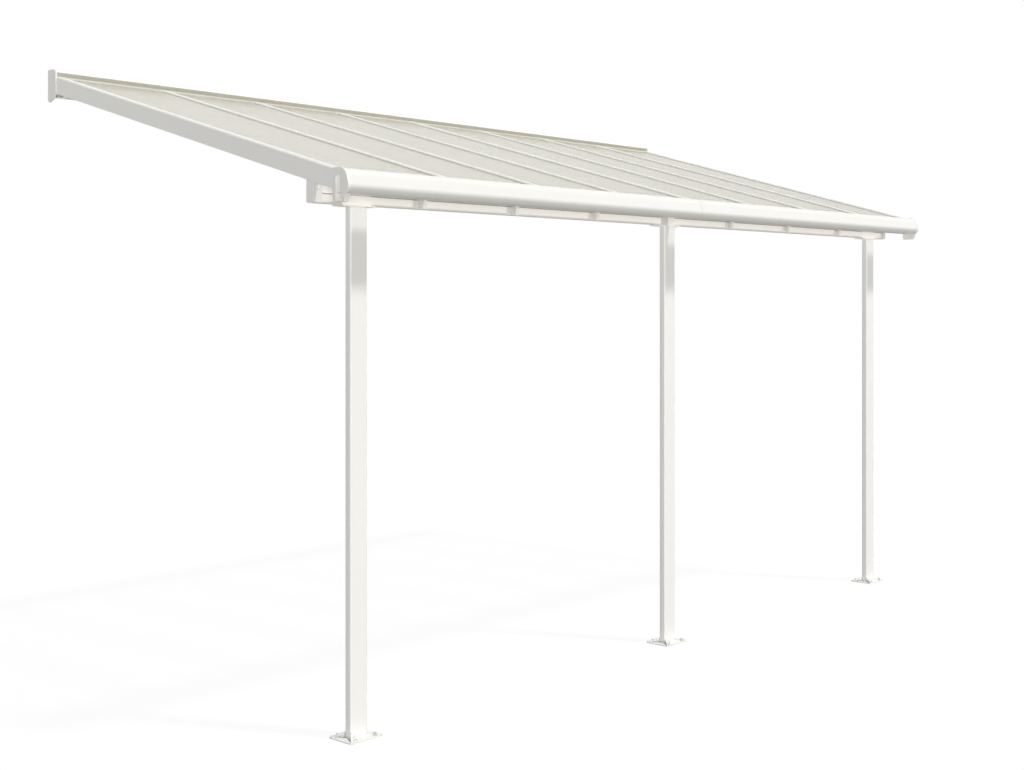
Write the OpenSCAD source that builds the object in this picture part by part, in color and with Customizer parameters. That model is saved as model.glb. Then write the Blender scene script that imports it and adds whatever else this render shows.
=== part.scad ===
// Attached patio cover: a lean-to roof of twin-wall panels between sloping rafters.
// X runs along the wall, -Y points away from it and Z is up.
// The frame's origin lies on the wall profile's back face, at its middle.

/* [Roof] */
// Length of the whole roof over the gutter's end caps
cover_l = 4608; // [3600:8:5000]
// Depth from the wall to the gutter's nose
cover_d = 2200; // [1800:10:2600]
// Height of the wall profile's top above the ground
cover_h = 2850; // [2600:10:3050]
// Pitch of the roof in degrees
pitch = 15.25; // [12:0.25:18]
// Number of panels
bays = 8; // [4:2:8]

/* [Wall profile] */
// Height of the wall profile
wall_h = 156; // [146:1:170]
// Depth of the wall profile's upper box
wall_d = 72; // [60:1:84]
// Reach of the lower ledge that carries the rafters
ledge_d = 152; // [130:1:170]

/* [Rafters] */
// Width of a rafter's box
raf_w = 30; // [24:1:36]
// Depth of a rafter's box below the panels, square to the slope
raf_h = 64; // [50:1:80]
// Wall thickness of the extruded profiles
wall_t = 2; // [1.6:0.1:3]
// Width of the ledges that carry the panels
seat_w = 50; // [44:1:56]

/* [Panels] */
// Thickness of a twin-wall panel
pan_t = 6; // [5:0.5:8]
// Number of channels in one panel
cells = 27; // [9:1:30]

/* [Gutter] */
// Height of the gutter from its floor to its top lip
gut_h = 100; // [90:1:120]
// Depth of the gutter from its back to its nose
gut_d = 93; // [84:1:110]
// Drop of the end caps' outlet below the gutter's floor
spout_h = 32; // [16:1:32]

/* [Beam] */
// Height of the beam
beam_h = 78; // [70:1:96]
// Depth of the beam
beam_d = 46; // [40:1:56]
// Distance from the gutter's nose to the beam's front
beam_back = 223; // [190:1:260]

/* [Posts] */
// Width of a post
post_w = 88; // [76:1:100]
// Depth of a post
post_d = 36; // [30:1:44]
// Distance from an end of the roof to the middle of its outer post
post_in = 231; // [160:1:800]
// Length of a foot plate
foot_l = 172; // [150:1:200]
// Depth of a foot plate
foot_d = 142; // [120:1:160]

/* [Hidden] */
$fn = 32;
clr = 0.3;
eps = 0.01;
tanp = tan(pitch);
raf_pitch = (cover_l - 40) / bays;
half_l = cover_l / 2;
post_x = half_l - post_in;
z_mid = cover_h - wall_h / 2;
// panel tops start this far below the wall profile's top, measured on the wall plane
roof_drop = 24;
cap_up = 8;
lip_up = cap_up + 6;
neck_w = 5;
edge_w = 20;
seat_t = 2.4;
panel_gap = pan_t + 2 * clr;
raf_end_y = -(cover_d - gut_d);
raf_start_y = -(wall_d + clr);
gut_top = cover_h - roof_drop + lip_up / cos(pitch) - tanp * (cover_d - 53);
gut_floor = gut_top - gut_h;
raf_low = panel_gap + seat_t + raf_h;
beam_front = -(cover_d - beam_back);
beam_top = roof_z(beam_front) - raf_low / cos(pitch) - 5;
beam_bottom = beam_top - beam_h;
beam_half = half_l - 14;
post_y = beam_front + 2;
head_t = 6;
foot_t = 5;
gut_t = 2.4;
rim_t = 1.5;
cap_w = 12;
spout_l = 26;
post_top = beam_bottom - head_t;

function roof_z(y) = cover_h - roof_drop + tanp * y;
function arc(cx, cy, r, a0, a1, n) =
    [for (i = [0:n]) [cx + r * cos(a0 + (a1 - a0) * i / n), cy + r * sin(a0 + (a1 - a0) * i / n)]];

white = [0.93, 0.93, 0.92];
clear = [0.85, 0.84, 0.80];
grey = [0.76, 0.75, 0.72];

// ground level to the frame's own height
module up_frame()
    translate([0, 0, -z_mid])
        children();

// a section drawn in (y, z), drawn out along X from x0 to x1
module along_x(x0, x1)
    translate([x0, 0, 0])
        rotate([90, 0, 90])
            linear_extrude(x1 - x0)
                children();

// a section drawn in (x, n), n square to the roof, swept down the slope between two upright planes
module down_slope(y0, y1)
    intersection() {
        translate([0, 0, cover_h - roof_drop])
            rotate([pitch, 0, 0])
                translate([0, 100, 0])
                    rotate([90, 0, 0])
                        linear_extrude((-y1 + 300) / cos(pitch))
                            children();
        translate([-seat_w, y1, 0])
            cube([raf_pitch + 2 * seat_w, y0 - y1, cover_h + half_l]);
    }

module rounded(w, d, r)
    polygon(concat(arc(w / 2 - r, d / 2 - r, r, 0, 90, 6), arc(-w / 2 + r, d / 2 - r, r, 90, 180, 6),
        arc(-w / 2 + r, -d / 2 + r, r, 180, 270, 6), arc(w / 2 - r, -d / 2 + r, r, 270, 360, 6)));

// Wall profile: hollow box against the wall with a rounded upper edge, and a wedge under the rafters
function under_z(y) = roof_z(y) - raf_low / cos(pitch);

module wall_outline(ledge) {
    low = cover_h - wall_h;
    fy = -wall_d;
    foot_z = under_z(fy) - 20;
    base_z = foot_z + 14;
    polygon(concat(ledge ? [[0, base_z]] : [[-14, low], [0, low + 7]],
        [[0, cover_h]],
        arc(fy + 22, cover_h - 22, 22, 90, 180, 8),
        ledge ? [[fy, under_z(fy)], [-ledge_d, under_z(-ledge_d)], [-ledge_d, under_z(-ledge_d) - 4]]
              : [[fy, foot_z + 24]],
        [[fy + 14, foot_z + 1]],
        ledge ? [[fy + 34, base_z]] : []));
}

module wall_section() {
    w = wall_t + 0.4;
    fy = -wall_d;
    foot_z = under_z(fy) - 20;
    base_z = foot_z + 14;
    web = cover_h - 56;
    shelf = under_z(fy) + 4;
    difference() {
        wall_outline(true);
        polygon(concat([[-w, web + w], [-w, cover_h - w]],
            arc(fy + 22, cover_h - 22, 22 - w, 90, 180, 8), [[fy + w, web + w]]));
        polygon([[fy + w, shelf], [fy + w, web], [-w, web], [-w, base_z + w],
            [fy + 36, base_z + w], [fy + 24, shelf]]);
        polygon([[fy + 26, foot_z + 12], [fy + 12, foot_z + 4],
            [-ledge_d + 26, under_z(-ledge_d + 26) - 6], [-ledge_d + 26, under_z(-ledge_d + 26) - w],
            [fy - 1, under_z(fy - 1) - w], [fy + w, shelf - w], [fy + 22, shelf - w]]);
    }
}

module wall_half(side) {
    x0 = side < 0 ? -half_l + 4 : 0;
    up_frame()
        difference() {
            along_x(x0, x0 + half_l - 4)
                wall_section();
            for (k = [0.5, bays / 4 + 0.5, bays / 2 - 0.5])
                translate([side * k * raf_pitch, 1, z_mid])
                    rotate([90, 0, 0])
                        cylinder(r = 4.5, h = 200);
        }
}

module wall_profile_left()
    color(white)
        wall_half(-1);

module wall_profile_right()
    color(white)
        wall_half(1);

module wall_end_caps()
    color(white)
        up_frame()
            for (s = [-1, 1])
                along_x(s < 0 ? -half_l - 4 : half_l - 4 + 0, s < 0 ? -half_l + 4 : half_l + 4)
                    wall_outline(false);

// Rafter: box under the panels, two ledges, a neck between the panels and a rounded cap over them
module rafter_section(extra) {
    c = 15 + extra;
    n = neck_w / 2;
    w = raf_w / 2;
    s = seat_w / 2;
    g = -panel_gap;
    difference() {
        polygon(concat([[-n, 0]], arc(-c + cap_up, 0, cap_up, 180, 90, 6),
            arc(c - cap_up, 0, cap_up, 90, 0, 6), [[n, 0], [n, g], [s, g], [s, g - seat_t],
            [w, g - seat_t], [w, -raf_low], [-w, -raf_low], [-w, g - seat_t],
            [-s, g - seat_t], [-s, g], [-n, g]]));
        translate([-w + wall_t, -raf_low + wall_t])
            square([raf_w - 2 * wall_t, raf_h - 2 * wall_t]);
    }
}

// Outer rafter: one flat side runs from its foot up to the cap, with no ledge on the outside
module edge_section() {
    n = neck_w / 2;
    w = raf_w / 2;
    s = seat_w / 2;
    g = -panel_gap;
    difference() {
        polygon(concat([[-edge_w, -raf_low]], arc(-edge_w + 12, cap_up - 12, 12, 180, 90, 6),
            arc(15 - cap_up, 0, cap_up, 90, 0, 6), [[n, 0], [n, g], [s, g], [s, g - seat_t],
            [w, g - seat_t], [w, -raf_low]]));
        translate([-edge_w + wall_t, -raf_low + wall_t])
            square([w + edge_w - 2 * wall_t, raf_h - 2 * wall_t]);
    }
}

function raf_x(i) = (i - 1 - bays / 2) * raf_pitch;

module rafter(i) {
    up_frame()
        translate([raf_x(i), 0, 0])
            down_slope(raf_start_y, raf_end_y)
                if (i == 1)
                    edge_section();
                else if (i == bays + 1)
                    mirror([1, 0])
                        edge_section();
                else
                    rafter_section(i == 1 + bays / 2 ? 6 : 0);
}

module rafter_1() color(white) rafter(1);
module rafter_2() color(white) rafter(2);
module rafter_3() color(white) rafter(3);
module rafter_4() color(white) rafter(4);
module rafter_5() color(white) rafter(5);
module rafter_6() color(white) rafter(6);
module rafter_7() color(white) rafter(7);
module rafter_8() color(white) rafter(8);
module rafter_9() color(white) rafter(9);

// Panel: two skins joined by ribs, its channels running down the slope
module panel(i) {
    w = raf_pitch - neck_w - 2 * 1;
    skin = 0.9;
    rib = 0.9;
    cw = (w - rib) / cells;
    up_frame()
        translate([raf_x(i) + neck_w / 2 + 1, 0, 0])
            down_slope(raf_start_y, raf_end_y - 26)
                translate([0, -panel_gap])
                    difference() {
                        square([w, pan_t]);
                        for (k = [0:cells - 1])
                            translate([rib + k * cw, skin])
                                square([cw - rib, pan_t - 2 * skin]);
                    }
}

module panel_1() color(clear) panel(1);
module panel_2() color(clear) panel(2);
module panel_3() color(clear) panel(3);
module panel_4() color(clear) panel(4);
module panel_5() color(clear) panel(5);
module panel_6() color(clear) panel(6);
module panel_7() color(clear) panel(7);
module panel_8() color(clear) panel(8);

// Gutter: a round-nosed trough hung on the rafters' lower ends
module gutter_outline(g, b) {
    top_r = 44;
    nose_r = 30;
    a = 16;
    polygon(concat([[raf_end_y - b, gut_floor + g], [raf_end_y - b, gut_top - g]],
        arc(-cover_d + 53, gut_top - top_r, top_r - g, 90, 180 - a, 10),
        arc(-cover_d + nose_r, gut_floor + nose_r, nose_r - g, 180 - a, 270, 10)));
}

module gutter_section() {
    back_z = roof_z(raf_end_y - gut_t) - (panel_gap + 1) / cos(pitch);
    difference() {
        gutter_outline(rim_t + clr, 0);
        gutter_outline(rim_t + clr + gut_t, gut_t);
        translate([-cover_d + 45, back_z])
            square([200, 200]);
    }
}

module gutter_half(side) {
    x0 = side < 0 ? -half_l + 4 : 0;
    up_frame()
        difference() {
            along_x(x0, x0 + half_l - 4)
                gutter_section();
            translate([side * (half_l - spout_l + 11) - 7, raf_end_y - 56, gut_floor - 10])
                cube([14, 44, 20]);
        }
}

module gutter_left() color(white) gutter_half(-1);
module gutter_right() color(white) gutter_half(1);

// Joiner: a sleeve bent to the trough's floor inside both lengths
module gutter_joiner()
    color(white)
        up_frame()
            along_x(-40, 40)
                difference() {
                    gutter_outline(rim_t + 2 * clr + gut_t, gut_t + clr);
                    gutter_outline(rim_t + 2 * clr + gut_t + 2, gut_t + clr + 2);
                    translate([-cover_d, gut_floor + 34])
                        square([200, 200]);
                }

// End cap: a plate with a rim round the gutter's nose, a tall opening and an outlet box below
module spout_outline(g)
    polygon([[raf_end_y - g, gut_floor + 8], [raf_end_y - g, gut_floor - spout_h + g],
        [raf_end_y - 64 + g, gut_floor - spout_h + g], [raf_end_y - 77 + g, gut_floor + 8]]);

module gutter_end_cap(s) {
    slot_y = raf_end_y - 17;
    low = gut_floor - spout_h;
    up_frame()
        mirror([s > 0 ? 1 : 0, 0, 0]) {
            along_x(-half_l, -half_l + 4)
                difference() {
                    union() {
                        gutter_outline(0, 0);
                        spout_outline(0);
                    }
                    translate([slot_y - 31, low + 3])
                        square([31, 86]);
                    translate([slot_y - 15.5, low + 89])
                        circle(r = 15.5);
                    translate([slot_y - 42, low + 3])
                        square([20, 14]);
                }
            along_x(-half_l + 3, -half_l + cap_w)
                difference() {
                    gutter_outline(0, 0);
                    gutter_outline(rim_t, -20);
                    translate([raf_end_y - 45, gut_floor - 40])
                        square([100, 300]);
                }
            along_x(-half_l + 3, -half_l + spout_l)
                difference() {
                    spout_outline(0);
                    spout_outline(2.4);
                    translate([raf_end_y - 100, gut_floor + rim_t])
                        square([140, 40]);
                }
            along_x(-half_l + spout_l - 2, -half_l + spout_l)
                difference() {
                    spout_outline(1);
                    translate([raf_end_y - 100, gut_floor + rim_t])
                        square([140, 40]);
                }
        }
}

module gutter_end_cap_left() color(grey) gutter_end_cap(-1);
module gutter_end_cap_right() color(grey) gutter_end_cap(1);

// Beam: rounded box with a lip along the middle of its front
module beam_outline(capped) {
    r = 10;
    yf = beam_front;
    yb = beam_front + beam_d;
    zm = beam_bottom + beam_h / 2 + 2;
    top = capped ? [[yb, under_z(yb)], [yf, under_z(yf)]] : [[yb, beam_top], [yf + 5, beam_top]];
    polygon(concat(top, capped ? [] : [[yf + 5, zm + 3], [yf - 1, zm + 1.5],
        [yf - 1, zm], [yf, zm - 1]],
        arc(yf + r, beam_bottom + r, r, 180, 270, 6), arc(yb - r, beam_bottom + r, r, 270, 360, 6)));
}

module beam_section()
    difference() {
        beam_outline(false);
        translate([beam_front + 7.4, beam_bottom + 2.4])
            square([beam_d - 9.8, beam_h - 4.8]);
    }

module beam_half(s) {
    x0 = s < 0 ? -beam_half + 4 : 0;
    up_frame()
        along_x(x0, x0 + beam_half - 4)
            beam_section();
}

module beam_left() color(white) beam_half(-1);
module beam_right() color(white) beam_half(1);

module beam_end_caps()
    color(grey)
        up_frame()
            for (s = [-1, 1])
                along_x(s < 0 ? -beam_half : beam_half - 4, s < 0 ? -beam_half + 4 : beam_half)
                    beam_outline(true);

// Brackets that hold the rafters on the beam, a wide one in the middle
module rafter_brackets()
    color(grey)
        up_frame()
            for (i = [1:bays + 1]) {
                mid = i == 1 + bays / 2;
                w = mid ? 108 : 48;
                low = mid ? beam_bottom - 0 : beam_bottom + 1;
                x0 = i == 1 ? -beam_half + 4 : raf_x(i) - w / 2;
                x1 = i == bays + 1 ? beam_half - 4 : i == 1 ? x0 + 34 : raf_x(i) + w / 2;
                xa = i == bays + 1 ? x1 - 34 : x0;
                yb = beam_front + beam_d;
                yf = beam_front - 4;
                along_x(xa, x1)
                    polygon([[yf, low], [yf + 3, low], [yf + 3, beam_top], [yb, beam_top],
                        [yb, under_z(yb)], [yf, under_z(yf)]]);
            }

// Post head: a plate under the beam, a low front cheek and a tongue that enters the post
module post_head(x, cheek)
    up_frame()
        translate([x, 0, 0]) {
            translate([-87, beam_front - 18, beam_bottom - head_t])
                cube([174, 64, head_t]);
            if (cheek)
                translate([-76, beam_front - 3, beam_bottom - 1])
                    cube([152, 3, beam_h / 2]);
            translate([0, post_y, post_top - 90])
                linear_extrude(91)
                    rounded(post_w - 2 * wall_t - 1, post_d - 2 * wall_t - 1, 5);
        }

module post_head_left() color(grey) post_head(-post_x, true);
module post_head_middle() color(grey) post_head(0, false);
module post_head_right() color(grey) post_head(post_x, true);

module post(x)
    up_frame()
        translate([x, post_y, foot_t])
            linear_extrude(post_top - foot_t)
                difference() {
                    rounded(post_w, post_d, 8);
                    rounded(post_w - 2 * wall_t, post_d - 2 * wall_t, 6);
                }

module post_left() color(white) post(-post_x);
module post_middle() color(white) post(0);
module post_right() color(white) post(post_x);

// Foot: a plate with four holes, a gusset to each corner of the post and a tongue inside it
module foot(x) {
    px = post_w / 2 + clr;
    py = post_d / 2 + clr;
    qx = foot_l / 2 - 8;
    qy = foot_d / 2 - 8;
    ang = atan2(qy - py, qx - px);
    run = norm([qx - px, qy - py]);
    up_frame()
        translate([x, post_y, 0]) {
            difference() {
                linear_extrude(foot_t)
                    rounded(foot_l, foot_d, 14);
                for (sx = [-1, 1], sy = [-1, 1])
                    translate([sx * 51, sy * 55, -1])
                        cylinder(r = 4.5, h = foot_t + 2);
            }
            for (sx = [0, 1], sy = [0, 1])
                mirror([sx, 0, 0])
                    mirror([0, sy, 0])
                        translate([px - 2, py - 2, foot_t - 1])
                            rotate([90, 0, ang])
                                translate([3, 0, -2])
                                    linear_extrude(4)
                                        polygon([[0, 0], [run, 0], [run, 3], [0, 23]]);
            translate([0, 0, foot_t - 1])
                linear_extrude(80)
                    rounded(post_w - 2 * wall_t - 1, post_d - 2 * wall_t - 1, 5);
        }
}

module foot_left() color(grey) foot(-post_x);
module foot_middle() color(grey) foot(0);
module foot_right() color(grey) foot(post_x);

wall_profile_left();
wall_profile_right();
wall_end_caps();
rafter_1();
rafter_2();
rafter_3();
rafter_4();
rafter_5();
rafter_6();
rafter_7();
rafter_8();
rafter_9();
panel_1();
panel_2();
panel_3();
panel_4();
panel_5();
panel_6();
panel_7();
panel_8();
gutter_left();
gutter_right();
gutter_joiner();
gutter_end_cap_left();
gutter_end_cap_right();
beam_left();
beam_right();
beam_end_caps();
rafter_brackets();
post_head_left();
post_head_middle();
post_head_right();
post_left();
post_middle();
post_right();
foot_left();
foot_middle();
foot_right();
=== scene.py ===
import math

import bmesh
import bpy
from mathutils import Euler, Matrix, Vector


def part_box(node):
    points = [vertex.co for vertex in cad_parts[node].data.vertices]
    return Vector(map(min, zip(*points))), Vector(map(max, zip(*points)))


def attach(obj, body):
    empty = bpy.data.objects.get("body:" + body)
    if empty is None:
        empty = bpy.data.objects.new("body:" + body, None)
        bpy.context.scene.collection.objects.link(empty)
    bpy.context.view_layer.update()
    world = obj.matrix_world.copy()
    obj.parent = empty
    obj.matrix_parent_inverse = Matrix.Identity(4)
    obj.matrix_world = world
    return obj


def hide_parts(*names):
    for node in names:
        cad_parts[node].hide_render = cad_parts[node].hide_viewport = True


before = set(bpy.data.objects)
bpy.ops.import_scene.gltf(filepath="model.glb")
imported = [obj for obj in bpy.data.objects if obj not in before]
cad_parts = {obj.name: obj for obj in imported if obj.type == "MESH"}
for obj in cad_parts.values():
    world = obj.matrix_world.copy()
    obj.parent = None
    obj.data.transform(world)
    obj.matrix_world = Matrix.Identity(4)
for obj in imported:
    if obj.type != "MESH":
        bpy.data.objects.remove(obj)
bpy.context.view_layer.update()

# Camera and studio: eye level in front of the left end, heading along the wall and towards it.
# The camera is level, so upright edges stay parallel, and a slight lens shift sets the framing.
# A pale floor and a white surround; a broad low front card, a soft key from above, an even ambient.
EYE = Vector((-5.7986, -6.316, -1.014))
HEADING = 0.8521
FOCAL_PX = 1413.609
PICTURE_W, PICTURE_H = 1024, 770
CENTRE_X, HORIZON_Y = 559.445, 297.786
GROUND_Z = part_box("foot_left")[0][2]

camera_data = bpy.data.cameras.new("camera")
camera_data.sensor_width = 36
camera_data.lens = FOCAL_PX * camera_data.sensor_width / PICTURE_W
camera_data.shift_x = (PICTURE_W / 2 - CENTRE_X) / PICTURE_W
camera_data.shift_y = (HORIZON_Y - PICTURE_H / 2) / PICTURE_W
camera_data.clip_end = 200
camera = bpy.data.objects.new("camera", camera_data)
camera.location = EYE
camera.rotation_euler = (math.pi / 2, 0, -HEADING)
bpy.context.scene.collection.objects.link(camera)
bpy.context.scene.camera = camera
bpy.context.scene.view_settings.view_transform = "Standard"


def lamp(name, level, heading, colour, spread):
    """A soft distant lamp: level is what a white sheet square to it gives back."""
    data = bpy.data.lights.new(name, "SUN")
    data.energy = level * math.pi
    data.color = colour
    data.angle = math.radians(spread)
    made = bpy.data.objects.new(name, data)
    made.rotation_euler = Vector(heading).to_track_quat("-Z", "Y").to_euler()
    bpy.context.scene.collection.objects.link(made)


lamp("front_card", 0.50, (0.63, 0.774, 0.06), (1.0, 0.985, 0.965), 20)
lamp("key", 0.78, (-0.22, 0.46, -0.86), (1.0, 0.985, 0.95), 5)


def node(tree, kind, **values):
    """A new node; in_3 sets input 3 and in_Base_Color sets the input of that name."""
    made = tree.nodes.new(kind)
    for key, value in values.items():
        if key.startswith("in_"):
            label = key[3:]
            made.inputs[int(label) if label.isdigit() else label.replace("_", " ")].default_value = value
        else:
            setattr(made, key, value)
    return made


def link(tree, source, target):
    tree.links.new(source, target)


def fresh_material(name):
    made = bpy.data.materials.new(name)
    made.use_nodes = True
    made.node_tree.nodes.clear()
    return made, made.node_tree


world = bpy.data.worlds.new("studio")
world.use_nodes = True
sky = world.node_tree
sky.nodes.clear()
ray = node(sky, "ShaderNodeLightPath")
seen = node(sky, "ShaderNodeMath", operation="MAXIMUM")
seen_or_shiny = node(sky, "ShaderNodeMath", operation="MAXIMUM")
toward = node(sky, "ShaderNodeTexCoord")
height = node(sky, "ShaderNodeSeparateXYZ")
zenith = node(sky, "ShaderNodeMapRange", in_1=0.0, in_2=1.0, in_3=0.24, in_4=0.23)
ambient = node(sky, "ShaderNodeBackground", in_Color=(0.955, 0.975, 1.0, 1))
surround = node(sky, "ShaderNodeBackground", in_Color=(1, 1, 1, 1), in_Strength=1.0)
choose = node(sky, "ShaderNodeMixShader")
sky_out = node(sky, "ShaderNodeOutputWorld")
link(sky, ray.outputs["Is Camera Ray"], seen.inputs[0])
link(sky, ray.outputs["Is Transmission Ray"], seen.inputs[1])
link(sky, seen.outputs[0], seen_or_shiny.inputs[0])
link(sky, ray.outputs["Is Glossy Ray"], seen_or_shiny.inputs[1])
link(sky, toward.outputs["Generated"], height.inputs[0])
link(sky, height.outputs["Z"], zenith.inputs["Value"])
link(sky, zenith.outputs[0], ambient.inputs["Strength"])
link(sky, seen_or_shiny.outputs[0], choose.inputs[0])
link(sky, ambient.outputs[0], choose.inputs[1])
link(sky, surround.outputs[0], choose.inputs[2])
link(sky, choose.outputs[0], sky_out.inputs["Surface"])
bpy.context.scene.world = world

FLOOR_HALF = 60
floor_mesh = bpy.data.meshes.new("floor")
floor_corners = ((-1, -1), (1, -1), (1, 1), (-1, 1))
floor_mesh.from_pydata([(x * FLOOR_HALF, y * FLOOR_HALF, GROUND_Z) for x, y in floor_corners],
    [], [(0, 1, 2, 3)])
floor = bpy.data.objects.new("floor", floor_mesh)
bpy.context.scene.collection.objects.link(floor)
floor.visible_shadow = False
floor_material, tree = fresh_material("pale_floor")
ray = node(tree, "ShaderNodeLightPath")
sheet = node(tree, "ShaderNodeBsdfDiffuse", in_Color=(0.06, 0.06, 0.059, 1))
lift = node(tree, "ShaderNodeEmission", in_Color=(1, 1, 1, 1), in_Strength=0.95)
seen_floor = node(tree, "ShaderNodeAddShader")
bounce = node(tree, "ShaderNodeEmission", in_Color=(1.0, 0.98, 0.93, 1), in_Strength=0.42)
choose = node(tree, "ShaderNodeMixShader")
floor_out = node(tree, "ShaderNodeOutputMaterial")
link(tree, sheet.outputs[0], seen_floor.inputs[0])
link(tree, lift.outputs[0], seen_floor.inputs[1])
link(tree, ray.outputs["Is Camera Ray"], choose.inputs[0])
link(tree, bounce.outputs[0], choose.inputs[1])
link(tree, seen_floor.outputs[0], choose.inputs[2])
link(tree, choose.outputs[0], floor_out.inputs["Surface"])
floor_mesh.materials.append(floor_material)

# Wall profile: two lengths of extruded aluminium, powder coated white, screwed along the wall.
# Moulded plates close both ends. A soft grey-olive rubber seal covers the front of its nose, with a
# lip down to each roof panel, and six coach screws under the panels hold it.
PITCH = math.radians(15.25)
SLOPE = math.tan(PITCH)
ROOF_Z = 54.0
RAFTER_GAP = 571.0
HALF_LENGTH = 2304.0
BAYS = 8
WALL_FRONT = -72.0


def roof_height(y):
    """Height in mm of the panels' upper plane above the frame's origin, at a distance y from the wall."""
    return ROOF_Z + SLOPE * y


def rafter_x(number):
    """Where a rafter stands along the wall, the first at the left end and the ninth at the right."""
    return (number - 1 - BAYS / 2) * RAFTER_GAP


def mm(*values):
    return tuple(value / 1000 for value in values)


def effect_group(name, inputs, outputs):
    """A shader group for an effect that several materials use, with its input and output nodes."""
    group = bpy.data.node_groups.new(name, "ShaderNodeTree")
    for label, kind, default in inputs:
        group.interface.new_socket(name=label, in_out="INPUT", socket_type=kind).default_value = default
    for label, kind in outputs:
        group.interface.new_socket(name=label, in_out="OUTPUT", socket_type=kind)
    return group, group.nodes.new("NodeGroupInput"), group.nodes.new("NodeGroupOutput")


def coat_effect():
    """Sprayed and baked powder: fine orange peel, a slow drift of tone, a thinner coat on corners."""
    group, given, out = effect_group("baked_powder", [
        ("Coat", "NodeSocketColor", (0.86, 0.86, 0.84, 1)),
        ("Corner", "NodeSocketColor", (0.93, 0.93, 0.92, 1)),
        ("Corner Amount", "NodeSocketFloat", 0.5), ("Peel Scale", "NodeSocketFloat", 420.0)],
        [("Color", "NodeSocketColor"), ("Height", "NodeSocketFloat")])
    place = node(group, "ShaderNodeTexCoord")
    peel = node(group, "ShaderNodeTexNoise", in_Detail=3.0, in_Roughness=0.6)
    drift = node(group, "ShaderNodeTexNoise", in_Scale=1.7, in_Detail=4.0, in_Roughness=0.55)
    link(group, place.outputs["Object"], peel.inputs["Vector"])
    link(group, given.outputs["Peel Scale"], peel.inputs["Scale"])
    link(group, place.outputs["Object"], drift.inputs["Vector"])
    tone = node(group, "ShaderNodeMapRange", in_1=0.3, in_2=0.7, in_3=0.99, in_4=1.005)
    link(group, drift.outputs["Fac"], tone.inputs["Value"])
    toned = node(group, "ShaderNodeVectorMath", operation="SCALE")
    link(group, given.outputs["Coat"], toned.inputs[0])
    link(group, tone.outputs[0], toned.inputs["Scale"])
    rubbed = node(group, "ShaderNodeAttribute", attribute_name="rubbed")
    broken = node(group, "ShaderNodeTexNoise", in_Scale=60.0, in_Detail=4.0, in_Roughness=0.7)
    link(group, place.outputs["Object"], broken.inputs["Vector"])
    thin = node(group, "ShaderNodeMapRange", in_1=0.35, in_2=0.65, in_3=0.2, in_4=1.0)
    link(group, broken.outputs["Fac"], thin.inputs["Value"])
    corner = node(group, "ShaderNodeMath", operation="MULTIPLY")
    link(group, rubbed.outputs["Fac"], corner.inputs[0])
    link(group, thin.outputs[0], corner.inputs[1])
    amount = node(group, "ShaderNodeMath", operation="MULTIPLY", use_clamp=True)
    link(group, corner.outputs[0], amount.inputs[0])
    link(group, given.outputs["Corner Amount"], amount.inputs[1])
    mixed = node(group, "ShaderNodeMix", data_type="RGBA")
    link(group, amount.outputs[0], mixed.inputs["Factor"])
    link(group, toned.outputs[0], mixed.inputs["A"])
    link(group, given.outputs["Corner"], mixed.inputs["B"])
    link(group, mixed.outputs["Result"], out.inputs["Color"])
    link(group, peel.outputs["Fac"], out.inputs["Height"])
    return group


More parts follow.
